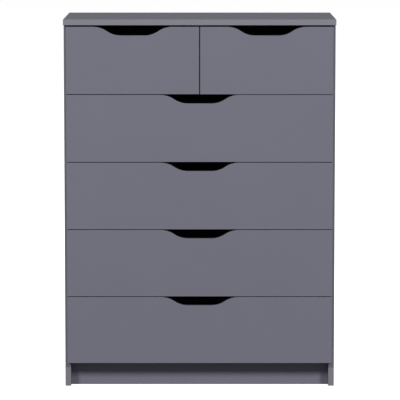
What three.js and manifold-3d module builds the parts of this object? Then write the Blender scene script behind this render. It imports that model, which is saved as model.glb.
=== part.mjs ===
// Tall chest of drawers: a pair of half-width drawers over four full-width ones.
// Millimetres, +Z up, the drawer fronts look towards -Y, left is -X.
// The origin is on the floor at the centre of the footprint.

import * as THREE from 'three';
import { mergeVertices } from 'three/addons/utils/BufferGeometryUtils.js';
import Module from 'manifold-3d';

const wasm = await Module();
wasm.setup();

// Overall size and board stock
const WIDTH = 760;
const DEPTH = 400;
const HEIGHT = 1035;
const BOARD = 16;
const HARDBOARD = 3;

// Carcass
const TOP_OVERHANG = 1;
const CARCASS_FRONT = -182;
const CARCASS_REAR = 195.5;
const PLINTH_HEIGHT = 68;
const PLINTH_SETBACK = 27;
const BACK_SIDE_INSET = 2;
const BACK_TOP_GAP = 0.5;
const BACK_BOTTOM_Z = 70;
const JOINT_Z = 546;
const JOINT_WEB = 1.4;
const JOINT_FLANGE_HEIGHT = 16;
const JOINT_FLANGE = 1.2;
const JOINT_CLEARANCE = 0.3;

// Drawer fronts: all the same height, overlaying the front edges of the side panels
const FRONT_FACE_Y = -198.5;
const FRONT_HEIGHT = 187.7;
const FRONT_GAP = 2;
const PAIR_GAP = 3;
const FRONT_REVEAL = 7;
const WIDE_ROWS = 4;

// Finger scoop in the top edge of every front: two tangent arcs each side of a flat
const SCOOP_DEPTH = 24.5;
const SCOOP_FLAT_HALF = 33;
const SCOOP_RADIUS = 68;
const SCOOP_STEPS = 10;

// Drawer boxes
const BOX_CLEARANCE = 2.5;
const BOX_LIFT = 22;
const BOX_HEIGHT = 130;
const BOX_DEPTH = 350;
const SIDE_THICKNESS = 15;
const REAR_THICKNESS = 12;
const BOTTOM_LIFT = 10;
const BOTTOM_GROOVE_DEPTH = 5;
const BOTTOM_GROOVE_HEIGHT = 3.6;
const BOTTOM_CLEARANCE = 0.3;
const BATTEN_WIDTH = 40;

// Runner strips, screwed to the carcass and held in a groove along each drawer side
const RUNNER_LENGTH = 340;
const RUNNER_HEIGHT = 16.5;
const RUNNER_THICKNESS = 10;
const RUNNER_FRONT_Y = -176;
const RUNNER_LIFT = 92;
const RUNNER_SCREWS = [30, 170, 310];
const GROOVE_HEIGHT = 17.5;
const GROOVE_DEPTH = 8;
const SCREW_HOLE = 4.2;
const SCREW_HEAD = 8.4;
const COUNTERSINK_DEPTH = 3;
const ROUND_STEPS = 20;

// Derived planes
const HALF_OUTER = WIDTH / 2 - TOP_OVERHANG;
const HALF_INNER = HALF_OUTER - BOARD;
const TOP_UNDERSIDE = HEIGHT - BOARD;
const FRONT_BACK_Y = FRONT_FACE_Y + BOARD;
const FRONT_HALF = HALF_OUTER - FRONT_REVEAL;
const PITCH = FRONT_HEIGHT + FRONT_GAP;
const TOP_ROW_Z = PLINTH_HEIGHT + WIDE_ROWS * PITCH;
const SHELF_Z = TOP_ROW_Z + 1;
const BOX_REAR_Y = FRONT_BACK_Y + BOX_DEPTH;

const FINISH = {
  board: { color: 0x6b6a75, roughness: 0.55, metalness: 0 },
  boxBoard: { color: 0x74747c, roughness: 0.6, metalness: 0 },
  hardboard: { color: 0x8a6a4a, roughness: 0.8, metalness: 0 },
  plastic: { color: 0x2a2b2e, roughness: 0.5, metalness: 0 },
  softwood: { color: 0xb08c5e, roughness: 0.75, metalness: 0 },
};

const chest = new THREE.Group();
chest.name = 'tall_chest_of_drawers';

function add(name, geometry, finish) {
  const mesh = new THREE.Mesh(geometry, new THREE.MeshStandardMaterial(FINISH[finish]));
  mesh.name = name;
  chest.add(mesh);
}

// A rectangular board between three [low, high] ranges
function boardGeometry(x, y, z) {
  const geometry = new THREE.BoxGeometry(x[1] - x[0], y[1] - y[0], z[1] - z[0]);
  return geometry.translate((x[0] + x[1]) / 2, (y[0] + y[1]) / 2, (z[0] + z[1]) / 2);
}

// An outline drawn in X and Z, given thickness from y[0] to y[1]
function extrudeAlongY(shape, y) {
  const geometry = new THREE.ExtrudeGeometry(shape, { depth: y[1] - y[0], bevelEnabled: false });
  const basis = new THREE.Matrix4().makeBasis(
    new THREE.Vector3(1, 0, 0),
    new THREE.Vector3(0, 0, 1),
    new THREE.Vector3(0, -1, 0),
  );
  return geometry.applyMatrix4(basis).translate(0, y[1], 0);
}

// An outline drawn in Y and Z, given thickness from x[0] to x[1]
function extrudeAlongX(shape, x) {
  const geometry = new THREE.ExtrudeGeometry(shape, { depth: x[1] - x[0], bevelEnabled: false });
  const basis = new THREE.Matrix4().makeBasis(
    new THREE.Vector3(0, 1, 0),
    new THREE.Vector3(0, 0, 1),
    new THREE.Vector3(1, 0, 0),
  );
  return geometry.applyMatrix4(basis).translate(x[0], 0, 0);
}

function solid(geometry) {
  const bare = geometry.clone();
  bare.deleteAttribute('normal');
  bare.deleteAttribute('uv');
  const welded = mergeVertices(bare);
  return new wasm.Manifold(new wasm.Mesh({
    numProp: 3,
    vertProperties: new Float32Array(welded.attributes.position.array),
    triVerts: new Uint32Array(welded.index.array),
  }));
}

function cut(geometry, tools) {
  let body = solid(geometry);
  for (const tool of tools) {
    body = body.subtract(solid(tool));
  }
  const result = body.getMesh();
  const shaped = new THREE.BufferGeometry();
  shaped.setAttribute('position', new THREE.BufferAttribute(new Float32Array(result.vertProperties), 3));
  shaped.setIndex(new THREE.BufferAttribute(new Uint32Array(result.triVerts), 1));
  shaped.computeVertexNormals();
  return shaped;
}

// Half of the scoop's outline, from the flat at the bottom out to the top edge of the front:
// distances from the scoop's centre line and from the top edge
function scoopHalf() {
  const points = [];
  const sweep = Math.acos(1 - SCOOP_DEPTH / 2 / SCOOP_RADIUS);
  const reach = SCOOP_RADIUS * Math.sin(sweep);
  for (let i = 0; i <= SCOOP_STEPS; i += 1) {
    const angle = (sweep * i) / SCOOP_STEPS;
    const rise = SCOOP_RADIUS * (1 - Math.cos(angle));
    points.push([SCOOP_FLAT_HALF + SCOOP_RADIUS * Math.sin(angle), rise - SCOOP_DEPTH]);
  }
  for (let i = SCOOP_STEPS - 1; i >= 0; i -= 1) {
    const angle = (sweep * i) / SCOOP_STEPS;
    const fall = SCOOP_RADIUS * (1 - Math.cos(angle));
    points.push([SCOOP_FLAT_HALF + 2 * reach - SCOOP_RADIUS * Math.sin(angle), -fall]);
  }
  return points;
}

function frontShape(x, z) {
  const middle = (x[0] + x[1]) / 2;
  const half = scoopHalf();
  const shape = new THREE.Shape();
  shape.moveTo(x[0], z[0]);
  shape.lineTo(x[1], z[0]);
  shape.lineTo(x[1], z[1]);
  for (const [across, down] of half.toReversed()) {
    shape.lineTo(middle + across, z[1] + down);
  }
  for (const [across, down] of half) {
    shape.lineTo(middle - across, z[1] + down);
  }
  shape.lineTo(x[0], z[1]);
  return shape;
}

// A drawer side seen from the front: runner groove outside, bottom groove inside.
// outward is -1 for a left side and +1 for a right side.
function sideShape(outerX, outward, z) {
  const at = (inwards) => outerX - outward * inwards;
  const grooveZ = z - BOX_LIFT + RUNNER_LIFT - GROOVE_HEIGHT / 2;
  const slotZ = z + BOTTOM_LIFT;
  const outline = [
    [at(0), z],
    [at(0), grooveZ],
    [at(GROOVE_DEPTH), grooveZ],
    [at(GROOVE_DEPTH), grooveZ + GROOVE_HEIGHT],
    [at(0), grooveZ + GROOVE_HEIGHT],
    [at(0), z + BOX_HEIGHT],
    [at(SIDE_THICKNESS), z + BOX_HEIGHT],
    [at(SIDE_THICKNESS), slotZ + BOTTOM_GROOVE_HEIGHT],
    [at(SIDE_THICKNESS - BOTTOM_GROOVE_DEPTH), slotZ + BOTTOM_GROOVE_HEIGHT],
    [at(SIDE_THICKNESS - BOTTOM_GROOVE_DEPTH), slotZ],
    [at(SIDE_THICKNESS), slotZ],
    [at(SIDE_THICKNESS), z],
  ];
  return new THREE.Shape(outline.map(([x, height]) => new THREE.Vector2(x, height)));
}

// A round-ended strip along Y, countersunk on the face turned to the drawer.
// towards is the direction of that face: +1 for a strip on a left wall, -1 on a right wall.
function runnerGeometry(wallX, towards, centreZ) {
  const radius = RUNNER_HEIGHT / 2;
  const strip = new THREE.Shape();
  strip.absarc(RUNNER_FRONT_Y + RUNNER_LENGTH - radius, centreZ, radius, -Math.PI / 2, Math.PI / 2, false);
  strip.absarc(RUNNER_FRONT_Y + radius, centreZ, radius, Math.PI / 2, (3 * Math.PI) / 2, false);
  const faceX = wallX + towards * RUNNER_THICKNESS;
  const body = extrudeAlongX(strip, [Math.min(wallX, faceX), Math.max(wallX, faceX)]);
  const holeProfile = [
    [0, -1],
    [SCREW_HOLE / 2, -1],
    [SCREW_HOLE / 2, RUNNER_THICKNESS - COUNTERSINK_DEPTH],
    [SCREW_HEAD / 2, RUNNER_THICKNESS],
    [SCREW_HEAD / 2, RUNNER_THICKNESS + 1],
    [0, RUNNER_THICKNESS + 1],
  ].map(([r, h]) => new THREE.Vector2(r, h));
  const holes = RUNNER_SCREWS.map((along) => new THREE.LatheGeometry(holeProfile, ROUND_STEPS)
    .rotateZ((-towards * Math.PI) / 2)
    .translate(wallX, RUNNER_FRONT_Y + along, centreZ));
  return cut(body, holes);
}

function addCarcass() {
  const between = [-HALF_INNER, HALF_INNER];
  const fullDepth = [CARCASS_FRONT, CARCASS_REAR];
  const plinthY = CARCASS_FRONT + PLINTH_SETBACK;
  const underTop = [0, TOP_UNDERSIDE];

  add('top_panel', boardGeometry(
    [-WIDTH / 2, WIDTH / 2],
    [-DEPTH / 2, DEPTH / 2],
    [TOP_UNDERSIDE, HEIGHT],
  ), 'board');
  add('side_panel_left', boardGeometry([-HALF_OUTER, -HALF_INNER], fullDepth, underTop), 'board');
  add('side_panel_right', boardGeometry([HALF_INNER, HALF_OUTER], fullDepth, underTop), 'board');
  add('base_panel', boardGeometry(between, fullDepth, [PLINTH_HEIGHT, PLINTH_HEIGHT + BOARD]), 'board');
  add('divider_shelf', boardGeometry(between, fullDepth, [SHELF_Z, SHELF_Z + BOARD]), 'board');
  add('centre_divider', boardGeometry(
    [-BOARD / 2, BOARD / 2],
    fullDepth,
    [SHELF_Z + BOARD, TOP_UNDERSIDE],
  ), 'board');
  add('plinth_front', boardGeometry(between, [plinthY, plinthY + BOARD], [0, PLINTH_HEIGHT]), 'board');
  add('plinth_rear', boardGeometry(between, [CARCASS_REAR - BOARD, CARCASS_REAR], [0, PLINTH_HEIGHT]), 'board');
}

// Two hardboard sheets nailed to the rear edges, meeting in an H-section strip
function addBack() {
  const sheetX = [-HALF_OUTER + BACK_SIDE_INSET, HALF_OUTER - BACK_SIDE_INSET];
  const sheetY = [CARCASS_REAR, CARCASS_REAR + HARDBOARD];
  const seam = JOINT_WEB / 2 + JOINT_CLEARANCE;
  add('back_panel_lower', boardGeometry(sheetX, sheetY, [BACK_BOTTOM_Z, JOINT_Z - seam]), 'hardboard');
  add('back_panel_upper', boardGeometry(
    sheetX,
    sheetY,
    [JOINT_Z + seam, TOP_UNDERSIDE - BACK_TOP_GAP],
  ), 'hardboard');

  const web = JOINT_WEB / 2;
  const flange = JOINT_FLANGE_HEIGHT / 2;
  const inner = CARCASS_REAR;
  const outer = CARCASS_REAR + HARDBOARD;
  const outline = [
    [inner - JOINT_FLANGE, -flange],
    [inner, -flange],
    [inner, -web],
    [outer, -web],
    [outer, -flange],
    [outer + JOINT_FLANGE, -flange],
    [outer + JOINT_FLANGE, flange],
    [outer, flange],
    [outer, web],
    [inner, web],
    [inner, flange],
    [inner - JOINT_FLANGE, flange],
  ];
  const shape = new THREE.Shape(outline.map(([y, z]) => new THREE.Vector2(y, JOINT_Z + z)));
  add('back_joining_strip', extrudeAlongX(shape, [-HALF_INNER + 1, HALF_INNER - 1]), 'plastic');
}

// One drawer in the bay between two carcass walls, with the two runner strips of that bay
function addDrawer(name, wallX, frontX, frontZ) {
  const boxZ = frontZ + BOX_LIFT;
  const runnerZ = frontZ + RUNNER_LIFT;
  const outerX = [wallX[0] + BOX_CLEARANCE, wallX[1] - BOX_CLEARANCE];
  const innerX = [outerX[0] + SIDE_THICKNESS, outerX[1] - SIDE_THICKNESS];
  const boxY = [FRONT_BACK_Y, BOX_REAR_Y];
  const slotReach = BOTTOM_GROOVE_DEPTH - BOTTOM_CLEARANCE;
  const slotZ = boxZ + BOTTOM_LIFT;
  const sheetZ = [slotZ + BOTTOM_CLEARANCE, slotZ + BOTTOM_CLEARANCE + HARDBOARD];

  const slot = boardGeometry(
    [innerX[0] - BOTTOM_GROOVE_DEPTH, innerX[1] + BOTTOM_GROOVE_DEPTH],
    [FRONT_BACK_Y - BOTTOM_GROOVE_DEPTH, FRONT_BACK_Y + 1],
    [slotZ, slotZ + BOTTOM_GROOVE_HEIGHT],
  );
  const front = extrudeAlongY(
    frontShape(frontX, [frontZ, frontZ + FRONT_HEIGHT]),
    [FRONT_FACE_Y, FRONT_BACK_Y],
  );
  add(`${name}_front`, cut(front, [slot]), 'board');
  add(`${name}_side_left`, extrudeAlongY(sideShape(outerX[0], -1, boxZ), boxY), 'boxBoard');
  add(`${name}_side_right`, extrudeAlongY(sideShape(outerX[1], 1, boxZ), boxY), 'boxBoard');
  add(`${name}_rear`, boardGeometry(
    innerX,
    [BOX_REAR_Y - REAR_THICKNESS, BOX_REAR_Y],
    [sheetZ[1], boxZ + BOX_HEIGHT],
  ), 'boxBoard');
  add(`${name}_bottom`, boardGeometry(
    [innerX[0] - slotReach, innerX[1] + slotReach],
    [FRONT_BACK_Y - slotReach, BOX_REAR_Y],
    sheetZ,
  ), 'hardboard');
  add(`${name}_runner_left`, runnerGeometry(wallX[0], 1, runnerZ), 'plastic');
  add(`${name}_runner_right`, runnerGeometry(wallX[1], -1, runnerZ), 'plastic');
}

// A wide bottom also has a batten under its middle, front to back
function addBatten(name, frontZ) {
  const boxZ = frontZ + BOX_LIFT;
  add(`${name}_batten`, boardGeometry(
    [-BATTEN_WIDTH / 2, BATTEN_WIDTH / 2],
    [FRONT_BACK_Y, BOX_REAR_Y],
    [boxZ, boxZ + BOTTOM_LIFT + BOTTOM_CLEARANCE],
  ), 'softwood');
}

addCarcass();
addBack();

addDrawer('top_left', [-HALF_INNER, -BOARD / 2], [-FRONT_HALF, -PAIR_GAP / 2], TOP_ROW_Z);
addDrawer('top_right', [BOARD / 2, HALF_INNER], [PAIR_GAP / 2, FRONT_HALF], TOP_ROW_Z);
for (let row = 0; row < WIDE_ROWS; row += 1) {
  const name = `row${WIDE_ROWS + 1 - row}`;
  const frontZ = PLINTH_HEIGHT + row * PITCH;
  addDrawer(name, [-HALF_INNER, HALF_INNER], [-FRONT_HALF, FRONT_HALF], frontZ);
  addBatten(name, frontZ);
}

export default chest;
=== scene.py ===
"""A tall chest of drawers in blue-grey melamine-faced board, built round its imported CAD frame."""

import math

import bmesh
import bpy
from mathutils import Matrix, Vector


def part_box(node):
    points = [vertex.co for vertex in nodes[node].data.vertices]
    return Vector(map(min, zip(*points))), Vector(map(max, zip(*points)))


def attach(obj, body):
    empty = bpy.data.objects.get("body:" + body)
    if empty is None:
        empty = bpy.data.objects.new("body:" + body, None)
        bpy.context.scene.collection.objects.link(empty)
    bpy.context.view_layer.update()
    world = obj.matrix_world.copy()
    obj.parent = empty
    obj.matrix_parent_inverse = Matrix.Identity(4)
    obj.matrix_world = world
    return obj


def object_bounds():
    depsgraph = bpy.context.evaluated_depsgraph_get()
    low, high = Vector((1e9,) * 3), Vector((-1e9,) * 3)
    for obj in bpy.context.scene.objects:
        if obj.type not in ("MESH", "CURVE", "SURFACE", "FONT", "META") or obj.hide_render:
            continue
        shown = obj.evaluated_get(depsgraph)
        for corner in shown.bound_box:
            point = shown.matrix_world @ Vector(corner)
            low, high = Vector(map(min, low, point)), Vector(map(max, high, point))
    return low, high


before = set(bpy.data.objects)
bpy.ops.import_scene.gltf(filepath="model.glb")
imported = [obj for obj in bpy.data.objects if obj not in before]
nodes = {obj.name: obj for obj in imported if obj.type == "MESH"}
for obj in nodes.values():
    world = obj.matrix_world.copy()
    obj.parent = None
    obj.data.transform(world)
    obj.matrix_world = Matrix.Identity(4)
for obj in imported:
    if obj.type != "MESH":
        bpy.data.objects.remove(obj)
cad_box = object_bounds()

MM = 0.001
DRAWERS = ("top_left", "top_right", "row2", "row3", "row4", "row5")
WIDE_DRAWERS = DRAWERS[2:]

# Rounding of the edges
EDGE_RADIUS = 0.7 * MM
BOX_EDGE_RADIUS = 0.5 * MM
SHEET_EDGE_RADIUS = 0.25 * MM
EDGE_SEGMENTS = 3
EDGE_ANGLE = math.radians(30)
WELD_DISTANCE = 0.002 * MM
FLAT_ANGLE = math.radians(0.2)

# Round heads: the dome's rings as shares of the radius and of the rise, and the cross as shares of
# the radius, narrowing to its floor
HEAD_BURIED = 0.4 * MM
HEAD_DOME = ((1.0, 0.25), (0.93, 0.62), (0.80, 1.0))
CROSS_ARM = 0.62
CROSS_HALF_WIDTH = 0.16
CROSS_FLOOR = 0.8

# Screws of the runner strips and of the drawers' rears
SCREW_RADIUS = 3.9 * MM
SCREW_RISE = 0.3 * MM
RUNNER_SCREW_AT = (30 * MM, 170 * MM, 310 * MM)
RUNNER_SCREW_SUNK = 0.9 * MM
RUNNER_SCREW_RECESS = 1.6 * MM
REAR_SCREW_RECESS = 1.2 * MM

# Cam fittings in the drawer sides, and the height of every fixing above and below the side's edges
CAM_RADIUS = 7.2 * MM
CAM_RISE = 0.35 * MM
CAM_RECESS = 1.4 * MM
CAM_INSET = 34 * MM
FIXING_ABOVE_BOTTOM = 26 * MM
FIXING_BELOW_TOP = 24 * MM

# Nails of the drawer bottoms and of the back
NAIL_RISE = 0.5 * MM
BOTTOM_NAIL_RADIUS = 2.4 * MM
WIDE_BOTTOM_NAILS = 6
SMALL_BOTTOM_NAILS = 4
BACK_NAIL_RADIUS = 1.6 * MM
BACK_NAIL_PITCH = 95 * MM
BACK_NAIL_INSET = 6 * MM

# Colours are linear
BOARD_COLOUR = (0.150, 0.147, 0.190)
# The board colour darkened and made less blue for the faces that look up and down: painted shade for the
# dimmer light on the top
SHADED_TOP_COLOUR = (0.134, 0.1245, 0.157)
# The side panels' edge banding is a little lighter than the board, and lighter still as painted light,
# offsetting the shade that the fronts cast on the strips beside them
SIDE_BAND_AND_LIGHT_COLOUR = (0.186, 0.183, 0.208)
# The level boards' edge banding has its own greyer tone, and is lighter still as a painted highlight
# where the top's front edge catches the light
TOP_BAND_AND_HIGHLIGHT_COLOUR = (0.201, 0.202, 0.235)
BOX_COLOUR = (0.165, 0.163, 0.190)
PRINT_COLOUR = (0.19, 0.19, 0.205)
RAW_COLOUR = (0.34, 0.215, 0.115)
PLASTIC_COLOUR = (0.018, 0.018, 0.02)
WOOD_LIGHT = (0.50, 0.34, 0.19)
WOOD_DARK = (0.33, 0.19, 0.09)
ZINC_COLOUR = (0.62, 0.61, 0.58)
FLOOR_COLOUR = (0.86, 0.86, 0.86)
WHITE = (1.0, 1.0, 1.0, 1.0)

# The boards' colours by the axis that their faces look along; the level faces get a darker copy of the
# board colour as painted shade, and the side and top bands get lighter colours that are partly painted
# light
FACE_AND_SHADE_COLOURS = {"X": BOARD_COLOUR, "Y": BOARD_COLOUR, "Z": SHADED_TOP_COLOUR}
BAND_AND_LIGHT_COLOURS = {"X": SIDE_BAND_AND_LIGHT_COLOUR, "Y": BOARD_COLOUR, "Z": TOP_BAND_AND_HIGHLIGHT_COLOUR}

# Noise scales, in features per metre, and the scale of the waves that make the press's mesh
BOARD_GRAIN = 480.0
FOIL_GRAIN = 900.0
SPECK = 620.0
PRESS_MESH = 170.0

# Between these shares of the normal along one axis, a rounding turns into a flat face
ROUNDED, FLAT = 0.80, 0.97

# Camera: straight ahead of the chest and far away, with a long lens, tilted a little down
CAMERA_DISTANCE = 8.0
CAMERA_OFFSET = 0.0010
CAMERA_HEIGHT = 1.4445
CAMERA_PITCH = math.radians(6.518)
CAMERA_LENS = 259.06
SENSOR_WIDTH = 36.0

# Light: two soft lamps ahead of the chest, one to each side, and two fainter ones behind it
KEY_AZIMUTH = math.radians(41)
KEY_ELEVATION = math.radians(32)
LAMP_DISTANCE = 11.0
KEY_SIZE = 2.6
KEY_POWER = 740.0
RIM_AZIMUTH = math.radians(130)
RIM_ELEVATION = math.radians(9)
RIM_SIZE = 3.3
RIM_POWER = 420.0
FILL_STRENGTH = 0.20
BACKDROP_STRENGTH = 1.0
FLOOR_GLOW = 0.80
FLOOR_REACH = 30.0
FLOOR_CELLS = 12


class Nodes:
    """A material's node tree, built one node at a time."""

    def __init__(self, name):
        self.material = bpy.data.materials.new(name)
        self.material.use_nodes = True
        self.tree = self.material.node_tree
        self.tree.nodes.clear()
        self.output = self.add("ShaderNodeOutputMaterial")
        self.shader = self.add("ShaderNodeBsdfPrincipled")
        self.join(self.shader.outputs["BSDF"], self.output.inputs["Surface"])
        self.position = self.add("ShaderNodeTexCoord").outputs["Object"]

    def add(self, kind, **settings):
        node = self.tree.nodes.new(kind)
        for key, value in settings.items():
            setattr(node, key, value)
        return node

    def join(self, source, target):
        self.tree.links.new(source, target)

    def fill(self, socket, value):
        """value is another node's output, or a constant."""
        if isinstance(value, bpy.types.NodeSocket):
            self.join(value, socket)
        elif hasattr(value, "__len__") and len(value) == 3 and socket.type == "RGBA":
            socket.default_value = (*value, 1.0)
        else:
            socket.default_value = value

    def scaled(self, factors):
        """The position, stretched by a factor along each axis."""
        node = self.add("ShaderNodeMapping")
        node.inputs["Scale"].default_value = factors
        self.join(self.position, node.inputs["Vector"])
        return node.outputs["Vector"]

    def noise(self, scale, detail=2.0, roughness=0.5, vector=None):
        node = self.add("ShaderNodeTexNoise")
        node.inputs["Scale"].default_value = scale
        node.inputs["Detail"].default_value = detail
        node.inputs["Roughness"].default_value = roughness
        self.join(vector or self.position, node.inputs["Vector"])
        return node.outputs["Fac"]

    def math(self, operation, a, b=0.0):
        node = self.add("ShaderNodeMath", operation=operation)
        self.fill(node.inputs[0], a)
        self.fill(node.inputs[1], b)
        return node.outputs["Value"]

    def ramp(self, value, low, high, out_low=0.0, out_high=1.0):
        """A smooth step from out_low to out_high as value goes from low to high."""
        node = self.add("ShaderNodeMapRange", interpolation_type="SMOOTHSTEP")
        for socket, number in zip(node.inputs[1:5], (low, high, out_low, out_high)):
            socket.default_value = number
        self.join(value, node.inputs[0])
        return node.outputs[0]

    def mix(self, factor, a, b):
        node = self.add("ShaderNodeMix", data_type="RGBA")
        self.fill(node.inputs[0], factor)
        self.fill(node.inputs[6], a)
        self.fill(node.inputs[7], b)
        return node.outputs[2]

    def bump(self, height, distance, strength=1.0, under=None):
        node = self.add("ShaderNodeBump")
        node.inputs["Strength"].default_value = strength
        node.inputs["Distance"].default_value = distance
        self.join(height, node.inputs["Height"])
        if under is not None:
            self.join(under, node.inputs["Normal"])
        return node.outputs["Normal"]

    def normal_shares(self):
        """The signed shares of the surface normal that lie along X, Y and Z."""
        geometry = self.add("ShaderNodeNewGeometry")
        split = self.add("ShaderNodeSeparateXYZ")
        self.join(geometry.outputs["Normal"], split.inputs[0])
        return [split.outputs[i] for i in range(3)]

    def facing(self, axis):
        return self.normal_shares()["XYZ".index(axis)]

    def rounding(self):
        """1 on the small roundings between flat faces, 0 on the faces."""
        parts = [self.math("ABSOLUTE", share) for share in self.normal_shares()]
        largest = self.math("MAXIMUM", self.math("MAXIMUM", parts[0], parts[1]), parts[2])
        return self.ramp(largest, ROUNDED, FLAT, 1.0, 0.0)

    def finish(self, colour, roughness, normal):
        self.join(colour, self.shader.inputs["Base Color"])
        self.join(roughness, self.shader.inputs["Roughness"])
        self.join(normal, self.shader.inputs["Normal"])
        return self.material


def shade(colour, factor):
    return tuple(min(1.0, c * factor) for c in colour)


def faced_board(name, face_axis, colour, band_and_light, grain):
    """Melamine-faced board: grained on its two faces, smooth banding round its edges."""
    n = Nodes(name)
    face = n.ramp(n.math("ABSOLUTE", n.facing(face_axis)), ROUNDED, FLAT)
    cloud = n.noise(5.0, 3.0, 0.55)
    speck = n.noise(SPECK, 2.0, 0.6)
    # The face colour with random clouds and specks; on the level boards this is the darker painted-shade
    # copy of the board colour
    print_and_shade_colour = n.mix(n.ramp(cloud, 0.3, 0.7), shade(colour, 0.985), shade(colour, 1.015))
    print_and_shade_colour = n.mix(n.ramp(speck, 0.35, 0.7, 0.0, 0.5), print_and_shade_colour, shade(colour, 1.13))
    # The band colour; on the side and level boards it is partly painted light
    band_and_light_colour = n.mix(n.noise(60.0, 3.0), shade(band_and_light, 0.96), shade(band_and_light, 1.05))
    # Lighter colour on the rounded edges, patchy by noise: partly wear, partly a painted highlight along
    # the edges
    wear_and_highlight = n.math("MULTIPLY", n.rounding(), n.ramp(n.noise(45.0, 4.0, 0.65), 0.42, 0.72, 0.25, 1.0))
    colour_out = n.mix(face, band_and_light_colour, print_and_shade_colour)
    colour_out = n.mix(n.math("MULTIPLY", wear_and_highlight, 0.5), colour_out, shade(colour, 1.75))
    smudge = n.ramp(n.noise(9.0, 4.0, 0.6), 0.3, 0.75, -0.012, 0.015)
    rough = n.math("ADD", n.ramp(speck, 0.3, 0.7, 0.54, 0.62), smudge)
    rough = n.math("ADD", rough, n.math("MULTIPLY", n.math("SUBTRACT", 1.0, face), -0.07))
    n.shader.inputs["Specular IOR Level"].default_value = 0.38
    pearl = n.math("MULTIPLY", n.noise(grain, 3.0, 0.6), n.ramp(face, 0.0, 1.0, 0.25, 1.0))
    normal = n.bump(pearl, 0.11 * MM, 0.55)
    return n.finish(colour_out, rough, normal)


def hardboard(name, printed_axis, printed_sign):
    """Thin hardboard: a printed smooth face, and a raw brown one with the mesh of its press."""
    n = Nodes(name)
    towards = n.math("MULTIPLY", n.facing(printed_axis), printed_sign)
    printed = n.ramp(towards, 0.2, 0.7)
    fibre = n.noise(1.0, 5.0, 0.7, n.scaled((260.0, 260.0, 260.0)))
    blotch = n.noise(7.0, 4.0, 0.6)
    raw = n.mix(n.ramp(blotch, 0.3, 0.7), shade(RAW_COLOUR, 0.95), shade(RAW_COLOUR, 1.04))
    raw = n.mix(n.ramp(fibre, 0.50, 0.72, 0.0, 0.6), raw, shade(RAW_COLOUR, 1.35))
    raw = n.mix(n.ramp(fibre, 0.45, 0.28, 0.0, 0.6), raw, shade(RAW_COLOUR, 0.62))
    ink = n.mix(n.ramp(fibre, 0.35, 0.7), shade(PRINT_COLOUR, 0.95), shade(PRINT_COLOUR, 1.06))
    colour = n.mix(printed, raw, ink)
    waves = []
    for direction in "XYZ".replace(printed_axis, ""):
        wave = n.add("ShaderNodeTexWave", bands_direction=direction, wave_profile="SIN")
        wave.inputs["Scale"].default_value = PRESS_MESH
        wave.inputs["Distortion"].default_value = 0.4
        n.join(n.position, wave.inputs["Vector"])
        waves.append(wave.outputs["Fac"])
    mesh = n.math("MULTIPLY", n.math("MINIMUM", *waves), n.math("SUBTRACT", 1.0, printed))
    rough = n.ramp(printed, 0.0, 1.0, 0.86, 0.5)
    normal = n.bump(fibre, 0.12 * MM, 0.5, n.bump(mesh, 0.22 * MM, 0.7))
    return n.finish(colour, rough, normal)


def moulded_plastic():
    """Dark satin plastic, a little scuffed along its edges."""
    n = Nodes("moulded_plastic")
    fine = n.noise(900.0, 2.0, 0.6)
    broad = n.noise(30.0, 3.0)
    colour = n.mix(broad, shade(PLASTIC_COLOUR, 0.85), shade(PLASTIC_COLOUR, 1.25))
    colour = n.mix(n.math("MULTIPLY", n.rounding(), 0.5), colour, shade(PLASTIC_COLOUR, 3.0))
    rough = n.math("ADD", n.ramp(broad, 0.3, 0.7, 0.36, 0.46), n.ramp(fine, 0.3, 0.7, 0.0, 0.06))
    return n.finish(colour, rough, n.bump(fine, 0.05 * MM, 0.4))


def planed_softwood():
    """Planed softwood with its grain along Y."""
    n = Nodes("planed_softwood")
    along = n.scaled((55.0, 2.2, 55.0))
    rings = n.add("ShaderNodeTexWave", wave_type="RINGS", rings_direction="Y")
    rings.inputs["Scale"].default_value = 1.1
    rings.inputs["Distortion"].default_value = 5.0
    rings.inputs["Detail"].default_value = 3.0
    n.join(along, rings.inputs["Vector"])
    fibre = n.noise(1.0, 4.0, 0.6, n.scaled((900.0, 40.0, 900.0)))
    colour = n.mix(n.ramp(rings.outputs["Fac"], 0.35, 0.85), WOOD_LIGHT, WOOD_DARK)
    colour = n.mix(n.ramp(fibre, 0.5, 0.75, 0.0, 0.5), colour, shade(WOOD_DARK, 0.7))
    rough = n.ramp(fibre, 0.3, 0.7, 0.58, 0.72)
    return n.finish(colour, rough, n.bump(fibre, 0.08 * MM, 0.6))


def zinc_plate():
    """Zinc-plated steel, faintly stained."""
    n = Nodes("zinc_plate")
    stain = n.noise(420.0, 4.0, 0.65)
    colour = n.mix(n.ramp(stain, 0.35, 0.7), shade(ZINC_COLOUR, 0.72), ZINC_COLOUR)
    rough = n.ramp(stain, 0.3, 0.75, 0.26, 0.44)
    n.shader.inputs["Metallic"].default_value = 1.0
    return n.finish(colour, rough, n.bump(stain, 0.03 * MM, 0.5))


def pale_floor():
    """A matt pale floor with a glow of its own, so that it meets the backdrop without a line."""
    n = Nodes("pale_floor")
    cloud = n.noise(1.5, 3.0)
    colour = n.mix(cloud, shade(FLOOR_COLOUR, 0.985), FLOOR_COLOUR)
    n.shader.inputs["Emission Color"].default_value = WHITE
    n.shader.inputs["Emission Strength"].default_value = FLOOR_GLOW
    n.shader.inputs["Specular IOR Level"].default_value = 0.1
    return n.finish(colour, n.ramp(cloud, 0.3, 0.7, 0.8, 0.9), n.bump(cloud, 1 * MM, 0.1))


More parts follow.
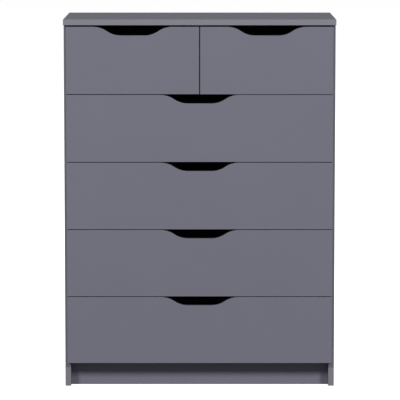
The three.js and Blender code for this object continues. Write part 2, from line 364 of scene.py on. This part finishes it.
def dress(node, material, radius):
    """Gives a CAD node its material and rounds its edges a little, by modifiers only.

    The stored shading normals and sharp marks go, because the rounded edges make their own.
    """
    obj = nodes[node]
    obj.data.materials.clear()
    obj.data.materials.append(material)
    for layer in ("custom_normal", "sharp_edge", "sharp_face"):
        if layer in obj.data.attributes:
            obj.data.attributes.remove(obj.data.attributes[layer])
    weld = obj.modifiers.new("weld", "WELD")
    weld.merge_threshold = WELD_DISTANCE
    flat = obj.modifiers.new("flat", "DECIMATE")
    flat.decimate_type = "DISSOLVE"
    flat.angle_limit = FLAT_ANGLE
    edge = obj.modifiers.new("edge", "BEVEL")
    edge.width = radius
    edge.segments = EDGE_SEGMENTS
    edge.limit_method = "ANGLE"
    edge.angle_limit = EDGE_ANGLE
    edge.use_clamp_overlap = True
    edge.harden_normals = True


def new_piece(name, bm, body, material):
    mesh = bpy.data.meshes.new(name)
    bm.to_mesh(mesh)
    bm.free()
    mesh.materials.append(material)
    obj = bpy.data.objects.new(name, mesh)
    bpy.context.scene.collection.objects.link(obj)
    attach(obj, body)


def frame_along(origin, axis):
    """A matrix that stands local +Z along axis at origin."""
    turn = Vector(axis).normalized().to_track_quat("Z", "Y").to_matrix().to_4x4()
    return Matrix.Translation(Vector(origin)) @ turn


def add_round_head(bm, origin, axis, radius, rise, recess=0.0):
    """A round head lying on a surface, domed by rise, with a cross of depth recess if that is over 0."""
    place = frame_along(origin, axis)
    arm, half = radius * CROSS_ARM, radius * CROSS_HALF_WIDTH
    corner = math.atan2(half, arm)
    quarter = (0.0, corner, (corner + math.pi / 4) / 2, math.pi / 4,
               math.pi / 2 - (corner + math.pi / 4) / 2, math.pi / 2 - corner)
    angles = [q * math.pi / 2 + a for q in range(4) for a in quarter]

    def cross_radius(angle):
        local = angle % (math.pi / 2)
        local = min(local, math.pi / 2 - local)
        if local <= corner:
            return arm / math.cos(local)
        return half / math.sin(local)

    def ring(radii, height):
        return [
            bm.verts.new(place @ Vector((r * math.cos(a), r * math.sin(a), height)))
            for r, a in zip(radii, angles)
        ]

    rings = [ring([radius] * len(angles), -HEAD_BURIED)]
    for share, lift in HEAD_DOME:
        rings.append(ring([radius * share] * len(angles), rise * lift))
    if recess > 0:
        cross = [cross_radius(a) for a in angles]
        rings.append(ring(cross, rise))
        rings.append(ring([r * CROSS_FLOOR for r in cross], rise - recess))
    for lower, upper in zip(rings, rings[1:]):
        for i in range(len(angles)):
            j = (i + 1) % len(angles)
            bm.faces.new((lower[i], lower[j], upper[j], upper[i]))
    bm.faces.new(rings[-1])
    bm.faces.new(list(reversed(rings[0])))


def add_runner_screws():
    """Three countersunk screws through every runner strip, one piece for each drawer bay."""
    for drawer in DRAWERS:
        bm = bmesh.new()
        for side, towards in (("left", 1), ("right", -1)):
            low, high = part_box(f"{drawer}_runner_{side}")
            middle = (low.z + high.z) / 2
            face = high.x if towards > 0 else low.x
            for along in RUNNER_SCREW_AT:
                origin = (face - towards * RUNNER_SCREW_SUNK, low.y + along, middle)
                add_round_head(bm, origin, (towards, 0, 0), SCREW_RADIUS, SCREW_RISE, RUNNER_SCREW_RECESS)
        new_piece(f"{drawer}_runner_screws", bm, "carcass", zinc)


def add_drawer_fixings():
    """The cam fittings that hold a front on its sides, and the screws and nails at the rear."""
    for drawer in DRAWERS:
        body = f"drawer_{drawer}"
        cams, rear_fixings = bmesh.new(), bmesh.new()
        rear_low, rear_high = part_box(f"{drawer}_rear")
        sheet_low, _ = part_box(f"{drawer}_bottom")
        rear_middle = (rear_low.y + rear_high.y) / 2
        for side, outward in (("left", -1), ("right", 1)):
            low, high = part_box(f"{drawer}_side_{side}")
            outer = high.x if outward > 0 else low.x
            inner = low.x if outward > 0 else high.x
            for height in (low.z + FIXING_ABOVE_BOTTOM, high.z - FIXING_BELOW_TOP):
                origin = (inner, low.y + CAM_INSET, height)
                add_round_head(cams, origin, (-outward, 0, 0), CAM_RADIUS, CAM_RISE, CAM_RECESS)
                origin = (outer, rear_middle, height)
                add_round_head(rear_fixings, origin, (outward, 0, 0), SCREW_RADIUS, SCREW_RISE,
                               REAR_SCREW_RECESS)
        count = WIDE_BOTTOM_NAILS if drawer in WIDE_DRAWERS else SMALL_BOTTOM_NAILS
        span = rear_high.x - rear_low.x
        for i in range(count):
            origin = (rear_low.x + span * (i + 0.5) / count, rear_middle, sheet_low.z)
            add_round_head(rear_fixings, origin, (0, 0, -1), BOTTOM_NAIL_RADIUS, NAIL_RISE)
        new_piece(f"{drawer}_cams", cams, body, zinc)
        new_piece(f"{drawer}_rear_screws", rear_fixings, body, zinc)


def add_back_nails():
    """Nails down both edges of each sheet of the back, and along the two boards that it crosses."""
    bm = bmesh.new()
    for sheet in ("back_panel_lower", "back_panel_upper"):
        low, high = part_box(sheet)
        rows = round((high.z - low.z) / BACK_NAIL_PITCH)
        for i in range(rows):
            z = low.z + (high.z - low.z) * (i + 0.5) / rows
            for x in (low.x + BACK_NAIL_INSET, high.x - BACK_NAIL_INSET):
                add_round_head(bm, (x, high.y, z), (0, 1, 0), BACK_NAIL_RADIUS, NAIL_RISE)
    _, sheet_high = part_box("back_panel_lower")
    for board in ("base_panel", "divider_shelf"):
        low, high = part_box(board)
        middle = (low.z + high.z) / 2
        columns = round((high.x - low.x) / BACK_NAIL_PITCH)
        for i in range(columns):
            x = low.x + (high.x - low.x) * (i + 0.5) / columns
            add_round_head(bm, (x, sheet_high.y, middle), (0, 1, 0), BACK_NAIL_RADIUS, NAIL_RISE)
    new_piece("back_nails", bm, "carcass", zinc)


def add_floor():
    """The floor shows to the camera only, so it throws no light back at the chest."""
    bm = bmesh.new()
    bmesh.ops.create_grid(bm, x_segments=FLOOR_CELLS, y_segments=FLOOR_CELLS, size=FLOOR_REACH)
    mesh = bpy.data.meshes.new("floor")
    bm.to_mesh(mesh)
    bm.free()
    mesh.materials.append(pale_floor())
    floor = bpy.data.objects.new("floor", mesh)
    bpy.context.scene.collection.objects.link(floor)
    floor.visible_diffuse = False
    floor.visible_glossy = False


def add_lamp(name, azimuth, elevation, size, power, target):
    """A round area lamp that looks at target; azimuth 0 is straight ahead of the fronts."""
    light = bpy.data.lights.new(name, "AREA")
    light.shape = "DISK"
    light.size = size
    light.energy = power
    lamp = bpy.data.objects.new(name, light)
    lamp.visible_camera = False
    away = Vector((math.sin(azimuth) * math.cos(elevation),
                   -math.cos(azimuth) * math.cos(elevation),
                   math.sin(elevation)))
    lamp.location = target + away * LAMP_DISTANCE
    lamp.rotation_euler = away.to_track_quat("Z", "Y").to_euler()
    bpy.context.scene.collection.objects.link(lamp)


def light_scene():
    """The world is a white backdrop to the camera, and a faint fill to everything else."""
    world = bpy.data.worlds.new("studio")
    world.use_nodes = True
    tree = world.node_tree
    tree.nodes.clear()
    shades = []
    for strength in (FILL_STRENGTH, BACKDROP_STRENGTH):
        shade_node = tree.nodes.new("ShaderNodeBackground")
        shade_node.inputs["Color"].default_value = WHITE
        shade_node.inputs["Strength"].default_value = strength
        shades.append(shade_node)
    choose = tree.nodes.new("ShaderNodeMixShader")
    path = tree.nodes.new("ShaderNodeLightPath")
    output = tree.nodes.new("ShaderNodeOutputWorld")
    tree.links.new(path.outputs["Is Camera Ray"], choose.inputs[0])
    tree.links.new(shades[0].outputs[0], choose.inputs[1])
    tree.links.new(shades[1].outputs[0], choose.inputs[2])
    tree.links.new(choose.outputs[0], output.inputs["Surface"])
    bpy.context.scene.world = world
    bpy.context.scene.view_settings.view_transform = "Standard"
    middle = (cad_box[0] + cad_box[1]) / 2
    for side, word in ((-1, "left"), (1, "right")):
        add_lamp(f"key_{word}", side * KEY_AZIMUTH, KEY_ELEVATION, KEY_SIZE, KEY_POWER, middle)
        add_lamp(f"rim_{word}", side * RIM_AZIMUTH, RIM_ELEVATION, RIM_SIZE, RIM_POWER, middle)


def add_camera():
    data = bpy.data.cameras.new("camera")
    data.lens = CAMERA_LENS
    data.sensor_width = SENSOR_WIDTH
    camera = bpy.data.objects.new("camera", data)
    camera.location = (CAMERA_OFFSET, cad_box[0].y - CAMERA_DISTANCE, CAMERA_HEIGHT)
    camera.rotation_euler = (math.pi / 2 - CAMERA_PITCH, 0.0, 0.0)
    bpy.context.scene.collection.objects.link(camera)
    bpy.context.scene.camera = camera


boards = {axis: faced_board(f"faced_board_{axis.lower()}", axis, FACE_AND_SHADE_COLOURS[axis],
                            BAND_AND_LIGHT_COLOURS[axis], BOARD_GRAIN)
          for axis in "XYZ"}
box_boards = {axis: faced_board(f"foil_board_{axis.lower()}", axis, BOX_COLOUR, BOX_COLOUR, FOIL_GRAIN)
              for axis in "XY"}
back_sheet = hardboard("back_sheet", "Y", -1.0)
bottom_sheet = hardboard("bottom_sheet", "Z", 1.0)
plastic = moulded_plastic()
softwood = planed_softwood()
zinc = zinc_plate()

for node in ("side_panel_left", "side_panel_right", "centre_divider"):
    dress(node, boards["X"], EDGE_RADIUS)
for node in ("top_panel", "base_panel", "divider_shelf"):
    dress(node, boards["Z"], EDGE_RADIUS)
for node in ("plinth_front", "plinth_rear"):
    dress(node, boards["Y"], EDGE_RADIUS)
for node in ("back_panel_lower", "back_panel_upper"):
    dress(node, back_sheet, SHEET_EDGE_RADIUS)
dress("back_joining_strip", plastic, SHEET_EDGE_RADIUS)
for drawer in DRAWERS:
    dress(f"{drawer}_front", boards["Y"], EDGE_RADIUS)
    dress(f"{drawer}_side_left", box_boards["X"], BOX_EDGE_RADIUS)
    dress(f"{drawer}_side_right", box_boards["X"], BOX_EDGE_RADIUS)
    dress(f"{drawer}_rear", box_boards["Y"], BOX_EDGE_RADIUS)
    dress(f"{drawer}_bottom", bottom_sheet, SHEET_EDGE_RADIUS)
    dress(f"{drawer}_runner_left", plastic, BOX_EDGE_RADIUS)
    dress(f"{drawer}_runner_right", plastic, BOX_EDGE_RADIUS)
for drawer in WIDE_DRAWERS:
    dress(f"{drawer}_batten", softwood, BOX_EDGE_RADIUS)

add_runner_screws()
add_drawer_fixings()
add_back_nails()
add_floor()
light_scene()
add_camera()
